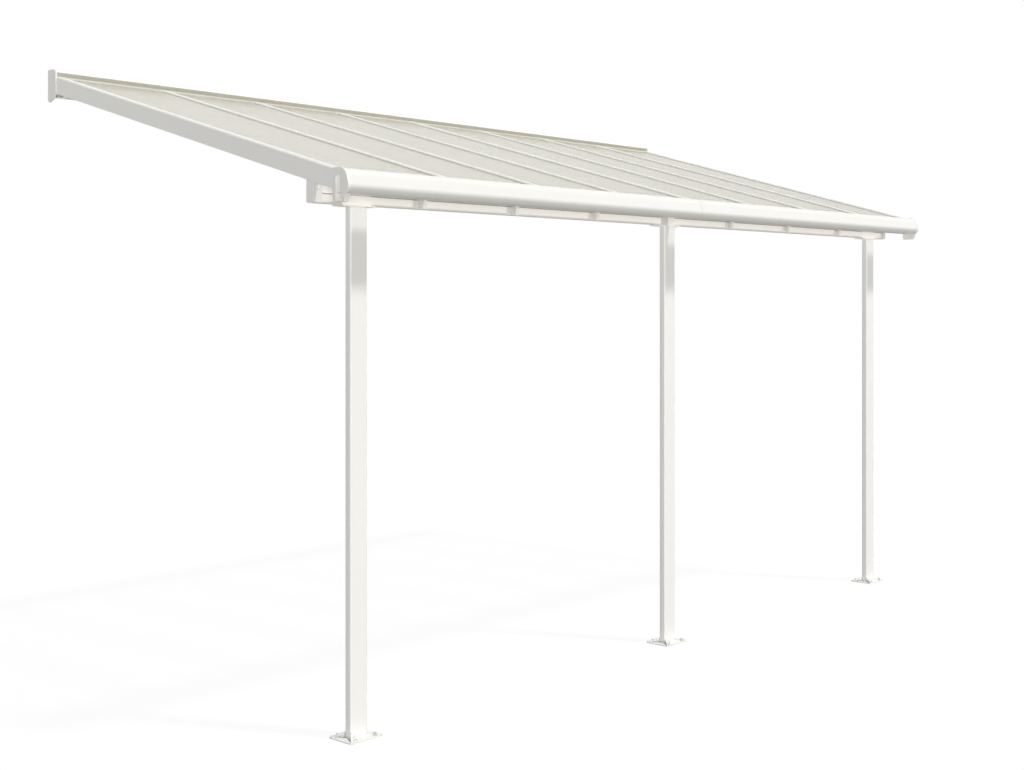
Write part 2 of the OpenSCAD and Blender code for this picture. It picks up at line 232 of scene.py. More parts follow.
def weather_effect():
    """Weather: dust on what faces up, faint rain streaks down what stands, duller where dust lies."""
    group, given, out = effect_group("weather", [
        ("Surface", "NodeSocketColor", (0.8, 0.8, 0.8, 1)),
        ("Dust", "NodeSocketColor", (0.66, 0.63, 0.55, 1)),
        ("Dust Amount", "NodeSocketFloat", 0.12), ("Streak Amount", "NodeSocketFloat", 0.06),
        ("Roughness", "NodeSocketFloat", 0.38), ("Height", "NodeSocketFloat", 0.0)],
        [("Color", "NodeSocketColor"), ("Roughness", "NodeSocketFloat"), ("Height", "NodeSocketFloat")])
    place = node(group, "ShaderNodeTexCoord")
    facing = node(group, "ShaderNodeNewGeometry")
    parts = node(group, "ShaderNodeSeparateXYZ")
    link(group, facing.outputs["Normal"], parts.inputs[0])
    upward = node(group, "ShaderNodeMapRange", in_1=0.2, in_2=1.0, in_3=0.0, in_4=1.0)
    link(group, parts.outputs["Z"], upward.inputs["Value"])
    grain = node(group, "ShaderNodeTexNoise", in_Scale=140.0, in_Detail=4.0, in_Roughness=0.7)
    patch = node(group, "ShaderNodeTexNoise", in_Scale=6.0, in_Detail=5.0, in_Roughness=0.6)
    link(group, place.outputs["Object"], grain.inputs["Vector"])
    link(group, place.outputs["Object"], patch.inputs["Vector"])
    specks = node(group, "ShaderNodeMapRange", in_1=0.35, in_2=0.7, in_3=0.35, in_4=1.0)
    link(group, grain.outputs["Fac"], specks.inputs["Value"])
    patches = node(group, "ShaderNodeMapRange", in_1=0.3, in_2=0.7, in_3=0.3, in_4=1.0)
    link(group, patch.outputs["Fac"], patches.inputs["Value"])
    lying = node(group, "ShaderNodeMath", operation="MULTIPLY")
    link(group, upward.outputs[0], lying.inputs[0])
    link(group, patches.outputs[0], lying.inputs[1])
    settled = node(group, "ShaderNodeMath", operation="MULTIPLY")
    link(group, lying.outputs[0], settled.inputs[0])
    link(group, specks.outputs[0], settled.inputs[1])
    dust = node(group, "ShaderNodeMath", operation="MULTIPLY", use_clamp=True)
    link(group, settled.outputs[0], dust.inputs[0])
    link(group, given.outputs["Dust Amount"], dust.inputs[1])
    drawn = node(group, "ShaderNodeMapping")
    drawn.inputs["Scale"].default_value = (34.0, 34.0, 1.1)
    link(group, place.outputs["Object"], drawn.inputs["Vector"])
    run = node(group, "ShaderNodeTexNoise", in_Scale=1.0, in_Detail=5.0, in_Roughness=0.6)
    link(group, drawn.outputs[0], run.inputs["Vector"])
    runs = node(group, "ShaderNodeMapRange", in_1=0.48, in_2=0.75, in_3=0.0, in_4=1.0)
    link(group, run.outputs["Fac"], runs.inputs["Value"])
    streaks = node(group, "ShaderNodeMath", operation="MULTIPLY", use_clamp=True)
    link(group, runs.outputs[0], streaks.inputs[0])
    link(group, given.outputs["Streak Amount"], streaks.inputs[1])
    cover = node(group, "ShaderNodeMath", operation="MAXIMUM")
    link(group, dust.outputs[0], cover.inputs[0])
    link(group, streaks.outputs[0], cover.inputs[1])
    mixed = node(group, "ShaderNodeMix", data_type="RGBA")
    link(group, cover.outputs[0], mixed.inputs["Factor"])
    link(group, given.outputs["Surface"], mixed.inputs["A"])
    link(group, given.outputs["Dust"], mixed.inputs["B"])
    link(group, mixed.outputs["Result"], out.inputs["Color"])
    duller = node(group, "ShaderNodeMath", operation="MULTIPLY_ADD", in_1=0.6)
    link(group, cover.outputs[0], duller.inputs[0])
    link(group, given.outputs["Roughness"], duller.inputs[2])
    varied = node(group, "ShaderNodeMath", operation="MULTIPLY_ADD", in_1=0.08, use_clamp=True)
    link(group, patch.outputs["Fac"], varied.inputs[0])
    link(group, duller.outputs[0], varied.inputs[2])
    link(group, varied.outputs[0], out.inputs["Roughness"])
    raised = node(group, "ShaderNodeMath", operation="MULTIPLY_ADD", in_1=0.5)
    link(group, dust.outputs[0], raised.inputs[0])
    link(group, given.outputs["Height"], raised.inputs[2])
    link(group, raised.outputs[0], out.inputs["Height"])
    return group


def underside_shade_effect():
    """Painted shade on what faces down, with an olive grime tint: darker towards the underside, in uneven
    runs.
    """
    group, given, out = effect_group("underside_grime", [
        ("Surface", "NodeSocketColor", (0.8, 0.8, 0.8, 1)),
        ("Grime", "NodeSocketColor", (0.40, 0.395, 0.325, 1)),
        ("Amount", "NodeSocketFloat", 0.5)], [("Color", "NodeSocketColor")])
    place = node(group, "ShaderNodeTexCoord")
    facing = node(group, "ShaderNodeNewGeometry")
    parts = node(group, "ShaderNodeSeparateXYZ")
    link(group, facing.outputs["Normal"], parts.inputs[0])
    uneven = node(group, "ShaderNodeTexNoise", in_Scale=7.0, in_Detail=5.0, in_Roughness=0.6)
    link(group, place.outputs["Object"], uneven.inputs["Vector"])
    shifted = node(group, "ShaderNodeMath", operation="MULTIPLY_ADD", in_1=0.16)
    link(group, uneven.outputs["Fac"], shifted.inputs[0])
    link(group, parts.outputs["Z"], shifted.inputs[2])
    downward = node(group, "ShaderNodeMapRange", interpolation_type="SMOOTHSTEP", in_1=0.40, in_2=-0.30,
        in_3=0.0, in_4=1.0)
    link(group, shifted.outputs[0], downward.inputs["Value"])
    share = node(group, "ShaderNodeMath", operation="MULTIPLY", use_clamp=True)
    link(group, downward.outputs[0], share.inputs[0])
    link(group, given.outputs["Amount"], share.inputs[1])
    mixed = node(group, "ShaderNodeMix", data_type="RGBA")
    link(group, share.outputs[0], mixed.inputs["Factor"])
    link(group, given.outputs["Surface"], mixed.inputs["A"])
    link(group, given.outputs["Grime"], mixed.inputs["B"])
    link(group, mixed.outputs["Result"], out.inputs["Color"])
    return group


POWDER = coat_effect()
WEATHER = weather_effect()
UNDERSIDE_SHADE = underside_shade_effect()


def weathered_shader(tree, colour, height, roughness, dust, streaks, relief, metallic=0.0):
    """The Principled shader of a finish, fed by the weather group, with a bump of the given depth."""
    weather = node(tree, "ShaderNodeGroup", node_tree=WEATHER)
    weather.inputs["Roughness"].default_value = roughness
    weather.inputs["Dust Amount"].default_value = dust
    weather.inputs["Streak Amount"].default_value = streaks
    link(tree, colour, weather.inputs["Surface"])
    link(tree, height, weather.inputs["Height"])
    bump = node(tree, "ShaderNodeBump", in_Strength=0.4, in_Distance=relief)
    link(tree, weather.outputs["Height"], bump.inputs["Height"])
    shader = node(tree, "ShaderNodeBsdfPrincipled")
    shader.inputs["Metallic"].default_value = metallic
    link(tree, weather.outputs["Color"], shader.inputs["Base Color"])
    link(tree, weather.outputs["Roughness"], shader.inputs["Roughness"])
    link(tree, bump.outputs[0], shader.inputs["Normal"])
    out = node(tree, "ShaderNodeOutputMaterial")
    link(tree, shader.outputs[0], out.inputs["Surface"])
    return shader


def coated(name, coat, peel, roughness, dust, gloss, corner=0.5, painted_shade=0.0):
    """A coat or a moulding: its colour, the scale of its peel, its roughness, gloss, dust and painted shade
    on what faces down.
    """
    made, tree = fresh_material(name)
    powder = node(tree, "ShaderNodeGroup", node_tree=POWDER)
    powder.inputs["Coat"].default_value = coat
    powder.inputs["Corner Amount"].default_value = corner
    powder.inputs["Peel Scale"].default_value = peel
    # Painted shade with an olive grime tint on what faces down.
    under = node(tree, "ShaderNodeGroup", node_tree=UNDERSIDE_SHADE)
    under.inputs["Amount"].default_value = painted_shade
    link(tree, powder.outputs["Color"], under.inputs["Surface"])
    shader = weathered_shader(tree, under.outputs["Color"], powder.outputs["Height"],
        roughness, dust, 0.06, 0.00012)
    shader.inputs["IOR"].default_value = 1.5
    shader.inputs["Coat Weight"].default_value = gloss
    shader.inputs["Coat Roughness"].default_value = 0.18
    return made


def rubber(name, colour, scale):
    """Dull rubber with a cloudy bloom of the given scale."""
    made, tree = fresh_material(name)
    place = node(tree, "ShaderNodeTexCoord")
    bloom = node(tree, "ShaderNodeTexNoise", in_Scale=scale, in_Detail=5.0, in_Roughness=0.65)
    link(tree, place.outputs["Object"], bloom.inputs["Vector"])
    tones = node(tree, "ShaderNodeMix", data_type="RGBA")
    tones.inputs["A"].default_value = tuple(0.86 * part for part in colour) + (1,)
    tones.inputs["B"].default_value = tuple(1.1 * part for part in colour) + (1,)
    link(tree, bloom.outputs["Fac"], tones.inputs["Factor"])
    shader = weathered_shader(tree, tones.outputs["Result"], bloom.outputs["Fac"], 0.68, 0.10, 0.10, 0.0002)
    shader.inputs["IOR"].default_value = 1.45
    return made


def steel(name, colour, roughness):
    """Plated steel with a fine spangle."""
    made, tree = fresh_material(name)
    place = node(tree, "ShaderNodeTexCoord")
    spangle = node(tree, "ShaderNodeTexVoronoi", in_Scale=900.0)
    link(tree, place.outputs["Object"], spangle.inputs["Vector"])
    tones = node(tree, "ShaderNodeMix", data_type="RGBA")
    tones.inputs["A"].default_value = tuple(0.88 * part for part in colour) + (1,)
    tones.inputs["B"].default_value = tuple(1.05 * part for part in colour) + (1,)
    link(tree, spangle.outputs["Color"], tones.inputs["Factor"])
    weathered_shader(tree, tones.outputs["Result"], spangle.outputs["Distance"],
        roughness, 0.2, 0.12, 0.00008, 1.0)
    return made


white_coat = coated("white_powder_coat", (0.86, 0.862, 0.842, 1), 420.0, 0.34, 0.10, 0.15)
white_plastic = coated("white_moulded_plastic", (0.85, 0.85, 0.835, 1), 950.0, 0.46, 0.10, 0.0, 0.25)
olive_rubber = rubber("olive_grey_rubber", (0.415, 0.405, 0.335), 36.0)
pale_rubber = rubber("pale_glazing_rubber", (0.60, 0.585, 0.54), 48.0)
zinc_steel = steel("zinc_plated_steel", (0.66, 0.66, 0.64), 0.34)


def plain_mesh(made, name):
    """The evaluated object as a plain mesh of its own, with nothing live on it."""
    done = bpy.data.meshes.new_from_object(made.evaluated_get(bpy.context.evaluated_depsgraph_get()))
    done.name = name
    base = made.data
    bpy.data.objects.remove(made)
    bpy.data.meshes.remove(base)
    piece = bpy.data.objects.new(name, done)
    bpy.context.scene.collection.objects.link(piece)
    return piece


def mark_rubbed(piece, width):
    """Marks the strips narrower than width, which are the rounded corners where a coat gets thin."""
    mesh = piece.data
    spots = [vertex.co.copy() for vertex in mesh.vertices]
    marks = []
    for face in mesh.polygons:
        longest = max((spots[a] - spots[b]).length for a, b in face.edge_keys)
        marks.append(float(face.area < longest * width))
    mesh.attributes.new("rubbed", "FLOAT", "FACE").data.foreach_set("value", marks)


def settle(piece, slot, *replaced):
    """Every piece rides on the one body, and the solids it stands for are hidden. The slot is not used."""
    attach(piece, "root")
    for source in replaced:
        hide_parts(source)
    return piece


def eased(source, name, material, radius, segments=2, slot="coated_aluminium", whole=False):
    """A finished copy of a solid: flat faces made whole, corners rounded as the finish leaves them."""
    shape = bmesh.new()
    shape.from_mesh(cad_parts[source].data)
    bmesh.ops.remove_doubles(shape, verts=shape.verts, dist=0.00002)
    bmesh.ops.dissolve_limit(shape, angle_limit=math.radians(0.4), verts=shape.verts, edges=shape.edges)
    if not whole:
        many_sided = [face for face in shape.faces if len(face.verts) > 4]
        bmesh.ops.triangulate(shape, faces=many_sided, ngon_method="EAR_CLIP")
    for face in shape.faces:
        face.smooth = True
        face.material_index = 0
    mesh = bpy.data.meshes.new(name)
    shape.to_mesh(mesh)
    shape.free()
    mesh.materials.append(material)
    made = bpy.data.objects.new(name + "_sharp", mesh)
    bpy.context.scene.collection.objects.link(made)
    ease = made.modifiers.new("eased corners", "BEVEL")
    ease.width = radius
    ease.segments = segments
    ease.limit_method = "ANGLE"
    ease.angle_limit = math.radians(28)
    evener = made.modifiers.new("flat faces stay flat", "WEIGHTED_NORMAL")
    evener.keep_sharp = True
    done = plain_mesh(made, name)
    mark_rubbed(done, radius)
    return settle(done, slot, source)


def geometry_tree(name, inputs):
    """An empty Geometry Nodes tree with named inputs, and its input and output nodes."""
    tree = bpy.data.node_groups.new(name, "GeometryNodeTree")
    tree.is_modifier = True
    tree.interface.new_socket(name="Geometry", in_out="INPUT", socket_type="NodeSocketGeometry")
    for label, kind, default in inputs:
        socket = tree.interface.new_socket(name=label, in_out="INPUT", socket_type=kind)
        if default is not None:
            socket.default_value = default
    tree.interface.new_socket(name="Geometry", in_out="OUTPUT", socket_type="NodeSocketGeometry")
    return tree, tree.nodes.new("NodeGroupInput"), tree.nodes.new("NodeGroupOutput")


def finished(tree, geometry, given, out, sharp=35):
    """The end of every tree: crisp above an angle and smooth below it, realized, with its material."""
    angle = node(tree, "GeometryNodeInputMeshEdgeAngle")
    crisp = node(tree, "FunctionNodeCompare", data_type="FLOAT", operation="GREATER_THAN")
    crisp.inputs["B"].default_value = math.radians(sharp)
    link(tree, angle.outputs["Unsigned Angle"], crisp.inputs["A"])
    real = node(tree, "GeometryNodeRealizeInstances")
    smooth = node(tree, "GeometryNodeSetShadeSmooth", domain="FACE")
    edges = node(tree, "GeometryNodeSetShadeSmooth", domain="EDGE")
    edges.inputs["Shade Smooth"].default_value = False
    finish = node(tree, "GeometryNodeSetMaterial")
    link(tree, geometry, real.inputs["Geometry"])
    link(tree, real.outputs[0], smooth.inputs[0])
    link(tree, smooth.outputs[0], edges.inputs[0])
    link(tree, crisp.outputs[0], edges.inputs["Selection"])
    link(tree, edges.outputs[0], finish.inputs["Geometry"])
    link(tree, given.outputs["Finish"], finish.inputs["Material"])
    link(tree, finish.outputs[0], out.inputs["Geometry"])


def bar_tree():
    """A section drawn flat, its corners rounded, drawn out along a run and repeated at a spacing."""
    tree, given, out = geometry_tree("extruded_bars", [
        ("Turn", "NodeSocketVector", (0, 0, 0)), ("Place", "NodeSocketVector", (0, 0, 0)),
        ("Run", "NodeSocketVector", (1, 0, 0)), ("Corner Steps", "NodeSocketInt", 3),
        ("Count", "NodeSocketInt", 1), ("Spacing", "NodeSocketVector", (0, 0, 0)),
        ("Finish", "NodeSocketMaterial", None)])
    loops = node(tree, "GeometryNodeMeshToCurve")
    link(tree, given.outputs["Geometry"], loops.inputs["Mesh"])
    corner = node(tree, "GeometryNodeInputNamedAttribute", data_type="FLOAT")
    corner.inputs["Name"].default_value = "corner"
    fillet = node(tree, "GeometryNodeFilletCurve", mode="POLY")
    fillet.inputs["Limit Radius"].default_value = True
    link(tree, loops.outputs[0], fillet.inputs["Curve"])
    link(tree, given.outputs["Corner Steps"], fillet.inputs["Count"])
    link(tree, corner.outputs["Attribute"], fillet.inputs["Radius"])
    fill = node(tree, "GeometryNodeFillCurve", mode="TRIANGLES")
    link(tree, fillet.outputs[0], fill.inputs["Curve"])
    stand = node(tree, "GeometryNodeTransform")
    link(tree, fill.outputs[0], stand.inputs["Geometry"])
    link(tree, given.outputs["Turn"], stand.inputs["Rotation"])
    link(tree, given.outputs["Place"], stand.inputs["Translation"])
    drawn = node(tree, "GeometryNodeExtrudeMesh", mode="FACES")
    drawn.inputs["Individual"].default_value = False
    link(tree, stand.outputs[0], drawn.inputs["Mesh"])
    link(tree, given.outputs["Run"], drawn.inputs["Offset"])
    back = node(tree, "GeometryNodeFlipFaces")
    link(tree, stand.outputs[0], back.inputs["Mesh"])
    whole = node(tree, "GeometryNodeJoinGeometry")
    link(tree, drawn.outputs["Mesh"], whole.inputs[0])
    link(tree, back.outputs[0], whole.inputs[0])
    closed = node(tree, "GeometryNodeMergeByDistance")
    closed.inputs["Distance"].default_value = 0.000005
    link(tree, whole.outputs[0], closed.inputs["Geometry"])
    row = node(tree, "GeometryNodeMeshLine", mode="OFFSET", count_mode="TOTAL")
    link(tree, given.outputs["Count"], row.inputs["Count"])
    link(tree, given.outputs["Spacing"], row.inputs["Offset"])
    copies = node(tree, "GeometryNodeInstanceOnPoints")
    link(tree, row.outputs[0], copies.inputs["Points"])
    link(tree, closed.outputs[0], copies.inputs["Instance"])
    finished(tree, copies.outputs[0], given, out)
    return tree


def grown(name, base, tree, **inputs):
    """Runs a tree on a base mesh and keeps the result as a plain mesh."""
    made = bpy.data.objects.new(name + "_base", base)
    bpy.context.scene.collection.objects.link(made)
    grow = made.modifiers.new(tree.name, "NODES")
    grow.node_group = tree
    for item in tree.interface.items_tree:
        if item.item_type == "SOCKET" and item.in_out == "INPUT" and item.name.replace(" ", "_") in inputs:
            grow[item.identifier] = inputs[item.name.replace(" ", "_")]
    evener = made.modifiers.new("flat faces stay flat", "WEIGHTED_NORMAL")
    evener.keep_sharp = True
    return plain_mesh(made, name)


def section(name, *loops):
    """A flat drawing in mm as closed loops of (u, v) or (u, v, corner radius)."""
    points, edges, corners = [], [], []
    for loop in loops:
        first, count = len(points), len(loop)
        points += [(point[0] / 1000, point[1] / 1000, 0) for point in loop]
        corners += [point[2] / 1000 if len(point) > 2 else 0.0 for point in loop]
        edges += [(first + i, first + (i + 1) % count) for i in range(count)]
    mesh = bpy.data.meshes.new(name + "_section")
    mesh.from_pydata(points, edges, [])
    mesh.attributes.new("corner", "FLOAT", "POINT").data.foreach_set("value", corners)
    return mesh


def arc(u, v, radius, start, stop, steps):
    """Points on an arc, in degrees from the first axis towards the second."""
    turns = [math.radians(start + (stop - start) * i / steps) for i in range(steps + 1)]
    return [(u + radius * math.cos(turn), v + radius * math.sin(turn)) for turn in turns]


BARS = bar_tree()
ALONG_WALL = Euler((math.pi / 2, 0, math.pi / 2))
DOWN_SLOPE = Euler((math.pi / 2, 0, 0))


def along_wall(name, loops, x0, x1, material, count=1, spacing=0.0):
    """Bars along the wall: loops are drawn in (y, z) and run from x0 to x1."""
    return grown(name, section(name, *loops), BARS, Turn=tuple(ALONG_WALL), Place=mm(x0, 0, 0),
        Run=mm(x1 - x0, 0, 0), Count=count, Spacing=mm(spacing, 0, 0), Finish=material)


def down_slope(name, loops, y0, y1, material, count=1, spacing=0.0):
    """Bars down the roof, cut upright: loops are in (x, n), n square to the slope from the panels' top."""
    upright = [[(point[0], point[1] / math.cos(PITCH), *point[2:]) for point in loop] for loop in loops]
    return grown(name, section(name, *upright), BARS, Turn=tuple(DOWN_SLOPE),
        Place=mm(0, y0, roof_height(y0)), Run=mm(0, y1 - y0, SLOPE * (y1 - y0)), Count=count,
        Spacing=mm(spacing, 0, 0), Finish=material)


def fastener_tree():
    """Screws and bolts on points that carry the direction they face: washer, head, chamfer and stud end."""
    tree, given, out = geometry_tree("set_fasteners", [
        ("Washer Radius", "NodeSocketFloat", 0.010), ("Washer Depth", "NodeSocketFloat", 0.0015),
        ("Head Radius", "NodeSocketFloat", 0.0075), ("Head Depth", "NodeSocketFloat", 0.0055),
        ("Head Sides", "NodeSocketInt", 6), ("Top Share", "NodeSocketFloat", 0.86),
        ("Stud Radius", "NodeSocketFloat", 0.004), ("Stud Length", "NodeSocketFloat", 0.006),
        ("Seed", "NodeSocketInt", 7), ("Finish", "NodeSocketMaterial", None)])
    whole = node(tree, "GeometryNodeJoinGeometry")

    def scaled(source, factor):
        by = node(tree, "ShaderNodeMath", operation="MULTIPLY", in_1=factor)
        link(tree, source, by.inputs[0])
        return by.outputs[0]

    def total(first, second):
        both = node(tree, "ShaderNodeMath", operation="ADD")
        link(tree, first, both.inputs[0])
        link(tree, second, both.inputs[1])
        return both.outputs[0]

    def raised(mesh, lift):
        up = node(tree, "ShaderNodeCombineXYZ")
        link(tree, lift, up.inputs["Z"])
        moved = node(tree, "GeometryNodeTransform")
        link(tree, mesh, moved.inputs["Geometry"])
        link(tree, up.outputs[0], moved.inputs["Translation"])
        link(tree, moved.outputs[0], whole.inputs[0])

    washer = node(tree, "GeometryNodeMeshCylinder")
    washer.inputs["Vertices"].default_value = 28
    link(tree, given.outputs["Washer Radius"], washer.inputs["Radius"])
    link(tree, given.outputs["Washer Depth"], washer.inputs["Depth"])
    raised(washer.outputs["Mesh"], scaled(given.outputs["Washer Depth"], 0.5))
    body_depth = scaled(given.outputs["Head Depth"], 0.78)
    body = node(tree, "GeometryNodeMeshCylinder")
    link(tree, given.outputs["Head Sides"], body.inputs["Vertices"])
    link(tree, given.outputs["Head Radius"], body.inputs["Radius"])
    link(tree, body_depth, body.inputs["Depth"])
    raised(body.outputs["Mesh"], total(given.outputs["Washer Depth"], scaled(body_depth, 0.5)))
    top = node(tree, "GeometryNodeMeshCone")
    link(tree, given.outputs["Head Sides"], top.inputs["Vertices"])
    link(tree, given.outputs["Head Radius"], top.inputs["Radius Bottom"])
    narrow = node(tree, "ShaderNodeMath", operation="MULTIPLY")
    link(tree, given.outputs["Head Radius"], narrow.inputs[0])
    link(tree, given.outputs["Top Share"], narrow.inputs[1])
    link(tree, narrow.outputs[0], top.inputs["Radius Top"])
    link(tree, scaled(given.outputs["Head Depth"], 0.22), top.inputs["Depth"])
    raised(top.outputs["Mesh"], total(given.outputs["Washer Depth"], body_depth))
    stud_depth = total(given.outputs["Stud Length"], given.outputs["Head Depth"])
    stud = node(tree, "GeometryNodeMeshCylinder")
    stud.inputs["Vertices"].default_value = 16
    link(tree, given.outputs["Stud Radius"], stud.inputs["Radius"])
    link(tree, stud_depth, stud.inputs["Depth"])
    raised(stud.outputs["Mesh"], total(given.outputs["Washer Depth"], scaled(stud_depth, 0.5)))

    facing = node(tree, "GeometryNodeInputNamedAttribute", data_type="FLOAT_VECTOR")
    facing.inputs["Name"].default_value = "facing"
    turn = node(tree, "FunctionNodeAlignRotationToVector", axis="Z")
    link(tree, facing.outputs["Attribute"], turn.inputs["Vector"])
    copies = node(tree, "GeometryNodeInstanceOnPoints")
    link(tree, given.outputs["Geometry"], copies.inputs["Points"])
    link(tree, whole.outputs[0], copies.inputs["Instance"])
    link(tree, turn.outputs[0], copies.inputs["Rotation"])
    chance = node(tree, "FunctionNodeRandomValue", data_type="FLOAT")
    chance.inputs[2].default_value = 0.0
    chance.inputs[3].default_value = math.tau
    link(tree, given.outputs["Seed"], chance.inputs["Seed"])
    spin = node(tree, "ShaderNodeCombineXYZ")
    link(tree, chance.outputs[1], spin.inputs["Z"])
    driven = node(tree, "GeometryNodeRotateInstances")
    link(tree, copies.outputs[0], driven.inputs["Instances"])
    link(tree, spin.outputs[0], driven.inputs["Rotation"])
    finished(tree, driven.outputs[0], given, out, 25)
    return tree


FASTENERS = fastener_tree()


def fasteners(name, spots, facing, material, washer, head, sides=6, stud=(0.5, 0.1), top=0.86, seed=7):
    """Sets one kind of fastener at spots in mm; washer, head and stud are (radius, depth) in mm."""
    base = bpy.data.meshes.new(name + "_spots")
    base.from_pydata([mm(*spot) for spot in spots], [], [])
    toward = base.attributes.new("facing", "FLOAT_VECTOR", "POINT")
    toward.data.foreach_set("vector", [part for _ in spots for part in facing])
    piece = grown(name, base, FASTENERS, Washer_Radius=washer[0] / 1000, Washer_Depth=washer[1] / 1000,
        Head_Radius=head[0] / 1000, Head_Depth=head[1] / 1000, Head_Sides=sides, Top_Share=top,
        Stud_Radius=stud[0] / 1000, Stud_Length=stud[1] / 1000, Seed=seed, Finish=material)
    return settle(piece, "coated_aluminium")


for side in ("left", "right"):
    eased(f"wall_profile_{side}", f"wall_profile_{side}_coated", white_coat, 0.0009, whole=True)
eased("wall_end_caps", "wall_end_caps_moulded", white_plastic, 0.0014, 3, "moulded_plastic")
SEAL_T = 1.5
SEAL_END = HALF_LENGTH - 4.5
NOSE_Y, NOSE_Z, NOSE_R = WALL_FRONT + 22, 56.0, 22.0
SEAL_LOW = roof_height(WALL_FRONT) + 8.0
ridge_count = 3
ridges = []
for i in range(ridge_count):
    z = SEAL_LOW + 1.2 + i * (NOSE_Z - SEAL_LOW - 1.5) / ridge_count
    ridges += [(WALL_FRONT - SEAL_T, z), (WALL_FRONT - SEAL_T - 0.7, z + 0.7), (WALL_FRONT - SEAL_T, z + 1.4)]
seal_loop = ([(WALL_FRONT, SEAL_LOW), (WALL_FRONT - SEAL_T, SEAL_LOW)] + ridges
    + arc(NOSE_Y, NOSE_Z, NOSE_R + SEAL_T, 180, 164, 6) + arc(NOSE_Y, NOSE_Z, NOSE_R, 162, 180, 6))
settle(along_wall("wall_seal", [seal_loop], -SEAL_END, SEAL_END, olive_rubber), "moulded_plastic")
lip_top = roof_height(WALL_FRONT)
lip_loop = [(WALL_FRONT, SEAL_LOW), (WALL_FRONT - SEAL_T, SEAL_LOW, 0.4),
    (WALL_FRONT - 2.2, lip_top + 3.5, 2.0), (WALL_FRONT - 11, lip_top - 2.2, 0.4),
    (WALL_FRONT - 11, lip_top - 3.1, 0.4), (WALL_FRONT, lip_top + 0.1)]
lips = along_wall("wall_seal_lips", [lip_loop], rafter_x(1) + 22, rafter_x(2) - 22,
    pale_rubber, BAYS, RAFTER_GAP)
settle(lips, "moulded_plastic")
coach_screws = [(side * gaps * RAFTER_GAP, WALL_FRONT, 0) for side in (-1, 1) for gaps in (0.5, 2.5, 3.5)]
fasteners("coach_screws", coach_screws, (0, -1, 0), zinc_steel, (12, 2.0), (8.6, 6.0))

# Rafters: nine hollow extruded aluminium bars down the slope, coated white, cut upright at both ends.
# Each has ledges under the panels, a neck between them and a rounded cap over their edges.
# Grey glazing rubber lies along the caps, also a painted shade line under each, and two screws a rafter come
# up through the wall ledge.
RAFTER_START, RAFTER_END = -72.3, -2107.0
RAFTER_LOW = 73.0
BOX_HALF, SEAT_HALF, NECK_HALF, CAP_HALF = 15.0, 25.0, 2.5, 15.0
PANEL_GAP, SEAT_T, WALL_T, CAP_UP = 6.6, 2.4, 2.0, 8.0
EDGE_HALF = 20.0
MIDDLE_EXTRA = 6.0


def inner_rafter(x, extra):
    """A rafter's section at x, its cap wider by extra on either side, and the hollow inside."""
    cap = CAP_HALF + extra
    under = -PANEL_GAP - SEAT_T
    return [[(x - NECK_HALF, 0.0)] + [(x + u, v) for u, v in arc(-cap + CAP_UP, 0, CAP_UP, 180, 90, 9)]
        + [(x + u, v) for u, v in arc(cap - CAP_UP, 0, CAP_UP, 90, 0, 9)]
        + [(x + NECK_HALF, 0.0), (x + NECK_HALF, -PANEL_GAP), (x + SEAT_HALF, -PANEL_GAP, 0.7),
        (x + SEAT_HALF, under, 0.7), (x + BOX_HALF, under, 0.8), (x + BOX_HALF, -RAFTER_LOW, 1.4),
        (x - BOX_HALF, -RAFTER_LOW, 1.4), (x - BOX_HALF, under, 0.8), (x - SEAT_HALF, under, 0.7),
        (x - SEAT_HALF, -PANEL_GAP, 0.7), (x - NECK_HALF, -PANEL_GAP)],
        [(x - BOX_HALF + WALL_T, under - WALL_T, 0.8), (x + BOX_HALF - WALL_T, under - WALL_T, 0.8),
        (x + BOX_HALF - WALL_T, -RAFTER_LOW + WALL_T, 0.8),
        (x - BOX_HALF + WALL_T, -RAFTER_LOW + WALL_T, 0.8)]]


def outer_rafter(side):
    """The left end's section, mirrored for the right: one flat side from its foot up to the cap."""
    under = -PANEL_GAP - SEAT_T
    outer = ([(-EDGE_HALF, -RAFTER_LOW, 1.4)] + arc(-EDGE_HALF + 12, CAP_UP - 12, 12, 180, 90, 9)
        + arc(CAP_HALF - CAP_UP, 0, CAP_UP, 90, 0, 9) + [(NECK_HALF, 0.0), (NECK_HALF, -PANEL_GAP),
        (SEAT_HALF, -PANEL_GAP, 0.7), (SEAT_HALF, under, 0.7), (BOX_HALF, under, 0.8),
        (BOX_HALF, -RAFTER_LOW, 1.4)])
    hollow = [(-EDGE_HALF + WALL_T, under - WALL_T, 0.8), (BOX_HALF - WALL_T, under - WALL_T, 0.8),
        (BOX_HALF - WALL_T, -RAFTER_LOW + WALL_T, 0.8), (-EDGE_HALF + WALL_T, -RAFTER_LOW + WALL_T, 0.8)]
    x = side * BAYS / 2 * RAFTER_GAP
    return [[(x - side * point[0], *point[1:]) for point in loop] for loop in (outer, hollow)]


for name, loops, count, sources in (
        ("rafter_left_edge", outer_rafter(-1), 1, (1,)),
        ("rafters_left_bays", inner_rafter(rafter_x(2), 0), 3, (2, 3, 4)),
        ("rafter_middle", inner_rafter(0.0, MIDDLE_EXTRA), 1, (5,)),
        ("rafters_right_bays", inner_rafter(rafter_x(6), 0), 3, (6, 7, 8)),
        ("rafter_right_edge", outer_rafter(1), 1, (9,))):
    bar = down_slope(name, loops, RAFTER_START, RAFTER_END, white_coat, count, RAFTER_GAP)
    mark_rubbed(bar, 0.0009)
    settle(bar, "coated_aluminium", *[f"rafter_{number}" for number in sources])
